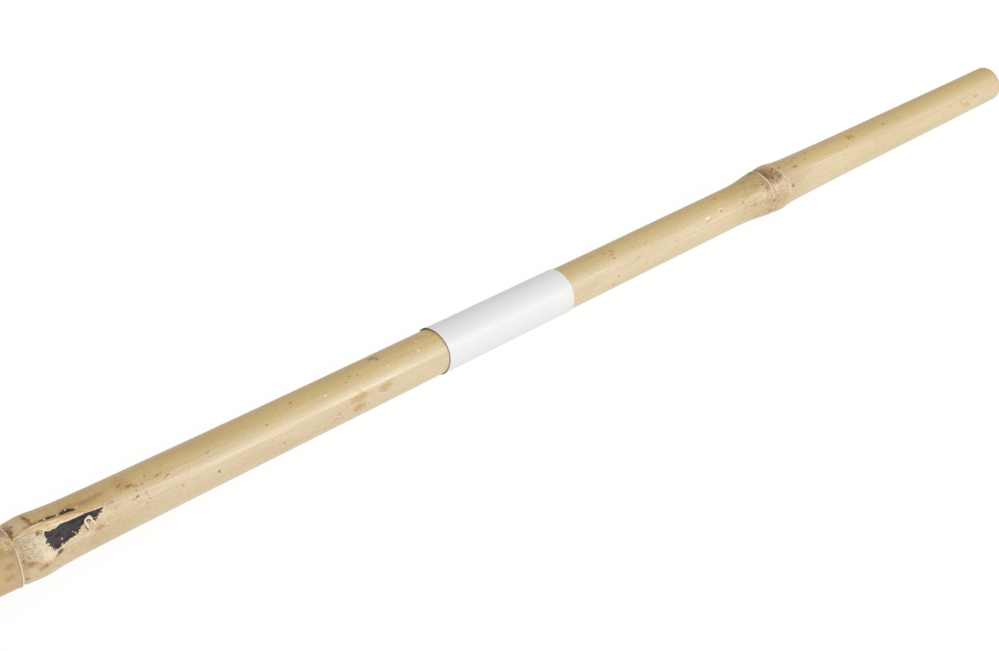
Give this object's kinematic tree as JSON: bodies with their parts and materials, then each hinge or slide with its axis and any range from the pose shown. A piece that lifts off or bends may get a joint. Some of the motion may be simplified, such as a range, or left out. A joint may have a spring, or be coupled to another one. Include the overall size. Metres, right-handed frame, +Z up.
{
  "type": "bamboo cane",
  "caption": "Straight natural bamboo cane with raised nodes, hollow sawn ends and a blank paper label wrapped round the middle.",
  "frame": {"origin": "middle of the cane's length and width, on the surface that it lies on", "axes": "+X along the cane from its thicker base end to its thinner tip end, +Z up from the surface it rests on"},
  "size_m": [0.75, 0.0248, 0.0246],
  "materials": {
    "bamboo": "satin",
    "paper": "matt coated paper"
  },
  "bodies": {
    "root": {"cane": "bamboo", "label": "paper"}
  },
  "joints": []
}
